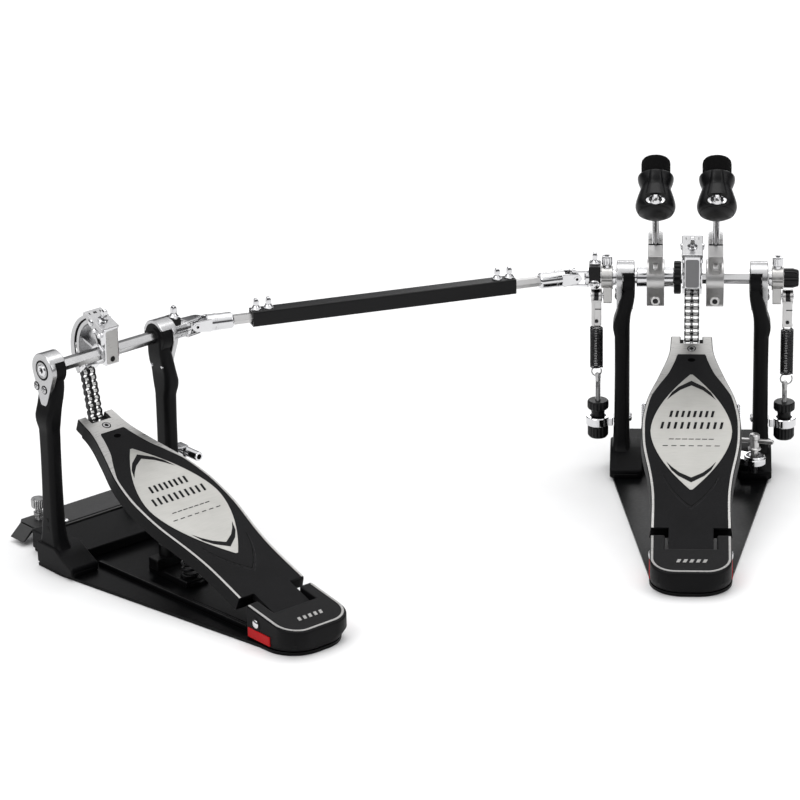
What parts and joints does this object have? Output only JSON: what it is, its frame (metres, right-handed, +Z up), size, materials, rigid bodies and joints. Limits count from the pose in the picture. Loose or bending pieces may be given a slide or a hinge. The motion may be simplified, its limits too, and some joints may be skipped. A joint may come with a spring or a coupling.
{
  "type": "bass drum pedal",
  "caption": "Twin bass drum pedal with sprung rotating beaters, chain-driven cams, hinged footboards and a telescoping shaft with universal joints.",
  "frame": {"origin": "on the floor under the middle of the main pedal's beater shaft", "axes": "+Z up, +Y towards the drum, +X to the player's right along the main beater shaft"},
  "size_m": [0.7427, 0.5161, 0.3453],
  "materials": {
    "plate": "gloss",
    "casting": "satin",
    "chrome": "polished",
    "steel": "satin",
    "board": "brushed",
    "wire": "satin",
    "chain": "satin",
    "plastic": "satin",
    "felt": "matte",
    "gunmetal": "satin"
  },
  "bodies": {
    "main_unit": {"main_base_plate": "plate", "main_frame": "casting", "main_heel_plate": "casting", "main_hinge_pin": "steel", "main_left_housing": "chrome", "main_right_housing": "chrome", "main_left_bearing": "steel", "main_right_bearing": "steel", "main_board_spring": "wire", "left_ring_clamp": "chrome", "right_ring_clamp": "chrome", "left_eye_rod": "steel", "right_eye_rod": "steel"},
    "main_rotor": {"main_shaft": "steel", "main_cam": "chrome", "right_hub": "chrome", "right_rocker": "steel", "end_cap": "plastic"},
    "main_board": {"main_footboard": "board"},
    "main_chain": {"main_chain": "chain"},
    "right_link": {"right_link": "chrome"},
    "right_spring": {"right_spring": "wire"},
    "right_beater": {"right_rod": "chrome", "right_head": "plastic", "right_felt": "felt"},
    "left_rotor": {"left_sleeve": "chrome", "sleeve_ring": "plastic", "left_hub": "chrome", "left_rocker": "steel", "left_collar": "plastic"},
    "left_link": {"left_link": "chrome"},
    "left_spring": {"left_spring": "wire"},
    "left_beater": {"left_rod": "chrome", "left_head": "plastic", "left_felt": "felt"},
    "drive": {"drive_tube": "plastic", "main_socket": "chrome"},
    "main_cross": {"main_cross": "steel"},
    "slave_unit": {"slave_base_plate": "plate", "slave_frame": "casting", "slave_heel_plate": "casting", "slave_hinge_pin": "steel", "slave_left_housing": "chrome", "slave_right_housing": "chrome", "slave_left_bearing": "steel", "slave_right_bearing": "steel", "slave_board_spring": "wire", "stabilizer_plate": "gunmetal"},
    "slave_rotor": {"slave_shaft": "chrome", "slave_cam": "chrome"},
    "slave_board": {"slave_footboard": "board"},
    "slave_chain": {"slave_chain": "chain"},
    "drive_rod": {"slave_socket": "chrome"},
    "slave_cross": {"slave_cross": "steel"},
    "wing_bolt": {"wing_bolt": "chrome"},
    "hoop_lever": {"hoop_lever": "chrome"},
    "left_tension_knob": {"left_tension_knob": "plastic"},
    "right_tension_knob": {"right_tension_knob": "plastic"},
    "thumb_screw": {"thumb_screw": "steel"},
    "tool_key": {"tool_key": "steel"}
  },
  "joints": [
    {"name": "main_swing", "type": "hinge", "parent": "main_unit", "child": "main_rotor", "pos_m": [0, 0, 0.196], "axis": [-1, 0, 0], "range_deg": [0, 45], "stiffness_Nm_per_rad": 0.6, "springref_deg": -5.73},
    {"name": "main_board_press", "type": "hinge", "parent": "main_unit", "child": "main_board", "pos_m": [0, -0.26, 0.02], "axis": [-1, 0, 0], "range_deg": [0, 5]},
    {"name": "main_chain_swing", "type": "hinge", "parent": "main_rotor", "child": "main_chain", "pos_m": [0, 0.03534, 0.18913], "axis": [-1, 0, 0], "range_deg": [-64, 0]},
    {"name": "right_link_swing", "type": "hinge", "parent": "main_rotor", "child": "right_link", "pos_m": [0.0915, 0, 0.1775], "axis": [-1, 0, 0], "range_deg": [-53.5, 0]},
    {"name": "right_spring_stretch", "type": "slide", "parent": "right_link", "child": "right_spring", "axis": [0, 0, -1], "range_m": [0, 0.0065], "deforming": ["right_spring"]},
    {"name": "right_beater_height", "type": "slide", "parent": "main_rotor", "child": "right_beater", "axis": [0, -0.7071, 0.7071], "range_m": [0, 0.01]},
    {"name": "drive_length", "type": "slide", "parent": "main_unit", "child": "slave_unit", "axis": [-0.9311, -0.3649, 0], "range_m": [-0.015, 0.08]},
    {"name": "slave_swing", "type": "hinge", "parent": "slave_unit", "child": "slave_rotor", "pos_m": [-0.53814, -0.20918, 0.196], "axis": [-0.7218, -0.6921, 0], "range_deg": [0, 45], "stiffness_Nm_per_rad": 0.6, "springref_deg": -5.73},
    {"name": "slave_board_press", "type": "hinge", "parent": "slave_unit", "child": "slave_board", "pos_m": [-0.35818, -0.39684, 0.02], "axis": [-0.7218, -0.6921, 0], "range_deg": [0, 5]},
    {"name": "slave_chain_swing", "type": "hinge", "parent": "slave_rotor", "child": "slave_chain", "pos_m": [-0.5626, -0.18367, 0.18913], "axis": [-0.7218, -0.6921, 0], "range_deg": [-64, 0]},
    {"name": "drive_spin", "type": "hinge", "parent": "main_unit", "child": "drive", "pos_m": [-0.113, 0, 0.196], "axis": [-0.9311, -0.3649, 0], "range_deg": [0, 43]},
    {"name": "drive_rod_spin", "type": "hinge", "parent": "slave_unit", "child": "drive_rod", "pos_m": [-0.46308, -0.13719, 0.196], "axis": [-0.9311, -0.3649, 0], "range_deg": [0, 43]},
    {"name": "main_cross_tilt", "type": "hinge", "parent": "drive", "child": "main_cross", "pos_m": [-0.113, 0, 0.196], "axis": [-0.3649, 0.9311, 0], "range_deg": [0, 15.2]},
    {"name": "slave_cross_tilt", "type": "hinge", "parent": "drive_rod", "child": "slave_cross", "pos_m": [-0.46308, -0.13719, 0.196], "axis": [-0.3649, 0.9311, 0], "range_deg": [-16, 0]},
    {"name": "left_swing", "type": "hinge", "parent": "main_unit", "child": "left_rotor", "pos_m": [0, 0, 0.196], "axis": [-1, 0, 0], "range_deg": [0, 45]},
    {"name": "left_link_swing", "type": "hinge", "parent": "left_rotor", "child": "left_link", "pos_m": [-0.0915, 0, 0.1775], "axis": [-1, 0, 0], "range_deg": [-54, 0]},
    {"name": "left_spring_stretch", "type": "slide", "parent": "left_link", "child": "left_spring", "axis": [0, 0, -1], "range_m": [0, 0.0066], "deforming": ["left_spring"]},
    {"name": "left_beater_height", "type": "slide", "parent": "left_rotor", "child": "left_beater", "axis": [0, -0.7071, 0.7071], "range_m": [0, 0.01]},
    {"name": "wing_bolt_turn", "type": "hinge", "parent": "main_unit", "child": "wing_bolt", "pos_m": [0.061, -0.04, 0.03], "axis": [0, 0, 1], "range_deg": [0, 1080]},
    {"name": "hoop_clamp", "type": "hinge", "parent": "main_unit", "child": "hoop_lever", "pos_m": [0, 0.005, 0.0205], "axis": [-1, 0, 0], "range_deg": [0, 7.1]},
    {"name": "left_tension_turn", "type": "hinge", "parent": "main_unit", "child": "left_tension_knob", "pos_m": [-0.09, 0, 0.05], "axis": [0, 0, 1], "continuous": true},
    {"name": "right_tension_turn", "type": "hinge", "parent": "main_unit", "child": "right_tension_knob", "pos_m": [0.09, 0, 0.05], "axis": [0, 0, 1], "continuous": true},
    {"name": "thumb_screw_turn", "type": "hinge", "parent": "slave_unit", "child": "thumb_screw", "pos_m": [-0.61318, -0.17861, 0.02], "axis": [0, 0, 1], "continuous": true},
    {"name": "tool_key_pull", "type": "slide", "parent": "slave_unit", "child": "tool_key", "axis": [-0.6921, 0.7218, 0], "range_m": [0, 0.04]}
  ],
  "couplings": [
    {"joint": "main_board_press", "follows": "main_swing", "ratio": 0.1067},
    {"joint": "main_chain_swing", "follows": "main_swing", "ratio": -1.411},
    {"joint": "right_link_swing", "follows": "main_swing", "ratio": -1.173},
    {"joint": "right_spring_stretch", "follows": "main_swing", "m_per_rad": 0.008},
    {"joint": "slave_board_press", "follows": "slave_swing", "ratio": 0.1067},
    {"joint": "slave_chain_swing", "follows": "slave_swing", "ratio": -1.411},
    {"joint": "drive_spin", "follows": "slave_swing", "ratio": 0.95},
    {"joint": "drive_rod_spin", "follows": "slave_swing", "ratio": 0.95},
    {"joint": "left_swing", "follows": "slave_swing", "ratio": 0.9955},
    {"joint": "left_link_swing", "follows": "slave_swing", "ratio": -1.183},
    {"joint": "left_spring_stretch", "follows": "slave_swing", "m_per_rad": 0.0081},
    {"joint": "main_cross_tilt", "follows": "slave_swing", "ratio": 0.332},
    {"joint": "slave_cross_tilt", "follows": "slave_swing", "ratio": -0.347},
    {"joint": "hoop_clamp", "follows": "wing_bolt_turn", "ratio": 0.00648}
  ]
}
